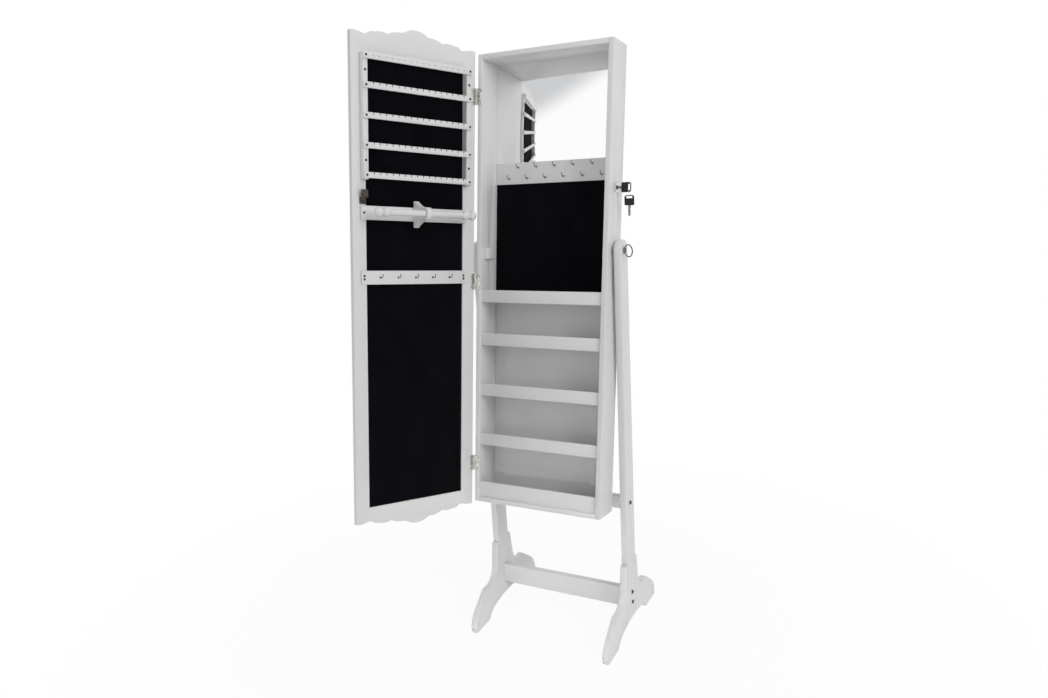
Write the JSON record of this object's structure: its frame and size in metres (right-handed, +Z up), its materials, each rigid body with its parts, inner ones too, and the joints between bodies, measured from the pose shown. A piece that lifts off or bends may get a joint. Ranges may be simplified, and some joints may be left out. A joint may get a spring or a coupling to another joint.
{
  "type": "jewelry mirror cabinet",
  "caption": "Tilting floor-standing jewelry cabinet with a scalloped mirror door, earring rails, a bracelet rod, hooks, lipped shelves and a key lock.",
  "frame": {"origin": "on the floor, under the middle of the overall box of the cabinet at rest, with its door open as pictured; the middle of the stand is 57.75 mm towards +X and 150.92 mm towards +Y from it", "axes": "+Z up; +Y away from someone facing the cabinet, towards its back; +X to that person's right, towards the lock side"},
  "size_m": [0.5946, 0.7138, 1.6623],
  "materials": {
    "white_lacquer": "satin white lacquer on fibreboard",
    "black_felt": "short matt pile",
    "silver_mirror": "polished silvered glass",
    "dark_nickel": "aged nickel plate",
    "bright_chrome": "polished plate",
    "zinc_steel": "zinc plate",
    "black_plastic": "moulded, semi-gloss",
    "clear_nylon": "natural nylon"
  },
  "bodies": {
    "stand": {"left_post": "white_lacquer", "right_post": "white_lacquer", "left_front_foot": "white_lacquer", "right_front_foot": "white_lacquer", "left_rear_foot": "white_lacquer", "right_rear_foot": "white_lacquer", "lower_stretcher": "white_lacquer", "upper_crossbar": "white_lacquer", "frame_bolts": "bright_chrome", "barrel_nuts": "zinc_steel", "pivot_spacers": "clear_nylon"},
    "left_clamp_bolt": {"left_tilt_bolt": "bright_chrome"},
    "right_clamp_bolt": {"right_tilt_bolt": "bright_chrome"},
    "cabinet": {"left_side": "white_lacquer", "right_side": "white_lacquer", "top_board": "white_lacquer", "bottom_board": "white_lacquer", "back_board": "white_lacquer", "inner_mirror": "silver_mirror", "hook_board": "white_lacquer", "necklace_hooks": "bright_chrome", "felt_panel": "black_felt", "shelf_lip_1": "white_lacquer", "shelf_1": "white_lacquer", "shelf_lip_2": "white_lacquer", "shelf_2": "white_lacquer", "shelf_lip_3": "white_lacquer", "shelf_3": "white_lacquer", "shelf_lip_4": "white_lacquer", "shelf_4": "white_lacquer", "bottom_lip": "white_lacquer", "left_pivot_block": "white_lacquer", "right_pivot_block": "white_lacquer", "threaded_inserts": "zinc_steel", "box_hinge_leaves": "dark_nickel", "hinge_pins": "dark_nickel", "lock_housing": "bright_chrome"},
    "door": {"door_frame": "white_lacquer", "door_mirror": "silver_mirror", "door_felt_panel": "black_felt", "rack_strip_hinge_side": "white_lacquer", "rack_strip_lock_side": "white_lacquer", "earring_rail_1": "white_lacquer", "earring_rail_2": "white_lacquer", "earring_rail_3": "white_lacquer", "earring_rail_4": "white_lacquer", "stud_bar": "white_lacquer", "rod_board": "white_lacquer", "rod_bracket": "white_lacquer", "bracelet_rod": "white_lacquer", "hook_rail": "white_lacquer", "rail_hooks": "bright_chrome", "lock_strike": "dark_nickel", "door_screws": "dark_nickel", "door_hinge_leaves": "dark_nickel"},
    "lock_core": {"lock_plug": "bright_chrome", "lock_cam": "bright_chrome", "key": "black_plastic"},
    "key_loop": {"key_ring": "bright_chrome"},
    "spare": {"spare_key": "black_plastic"}
  },
  "joints": [
    {"name": "cabinet_tilt", "type": "hinge", "parent": "stand", "child": "cabinet", "pos_m": [0.05775, 0.15092, 1.09], "axis": [-1, 0, 0], "range_deg": [-5.2, 12]},
    {"name": "door_swing", "type": "hinge", "parent": "cabinet", "child": "door", "pos_m": [-0.13025, 0.08617, 1.00495], "axis": [0, -0.1736, -0.9848], "range_deg": [-114, 61]},
    {"name": "left_bolt_turn", "type": "hinge", "parent": "stand", "child": "left_clamp_bolt", "pos_m": [-0.15325, 0.15092, 1.09], "axis": [1, 0, 0], "continuous": true},
    {"name": "right_bolt_turn", "type": "hinge", "parent": "stand", "child": "right_clamp_bolt", "pos_m": [0.26875, 0.15092, 1.09], "axis": [1, 0, 0], "continuous": true},
    {"name": "lock_turn", "type": "hinge", "parent": "cabinet", "child": "lock_core", "pos_m": [0.24275, 0.17783, 1.24264], "axis": [1, 0, 0], "range_deg": [0, 90]},
    {"name": "key_ring_swing", "type": "hinge", "parent": "lock_core", "child": "key_loop", "pos_m": [0.2768, 0.17671, 1.23624], "axis": [0, 1, 0], "range_deg": [-45, 12]},
    {"name": "spare_key_swing", "type": "hinge", "parent": "key_loop", "child": "spare", "pos_m": [0.2768, 0.17671, 1.21984], "axis": [0, 1, 0], "range_deg": [-45, 12]}
  ]
}
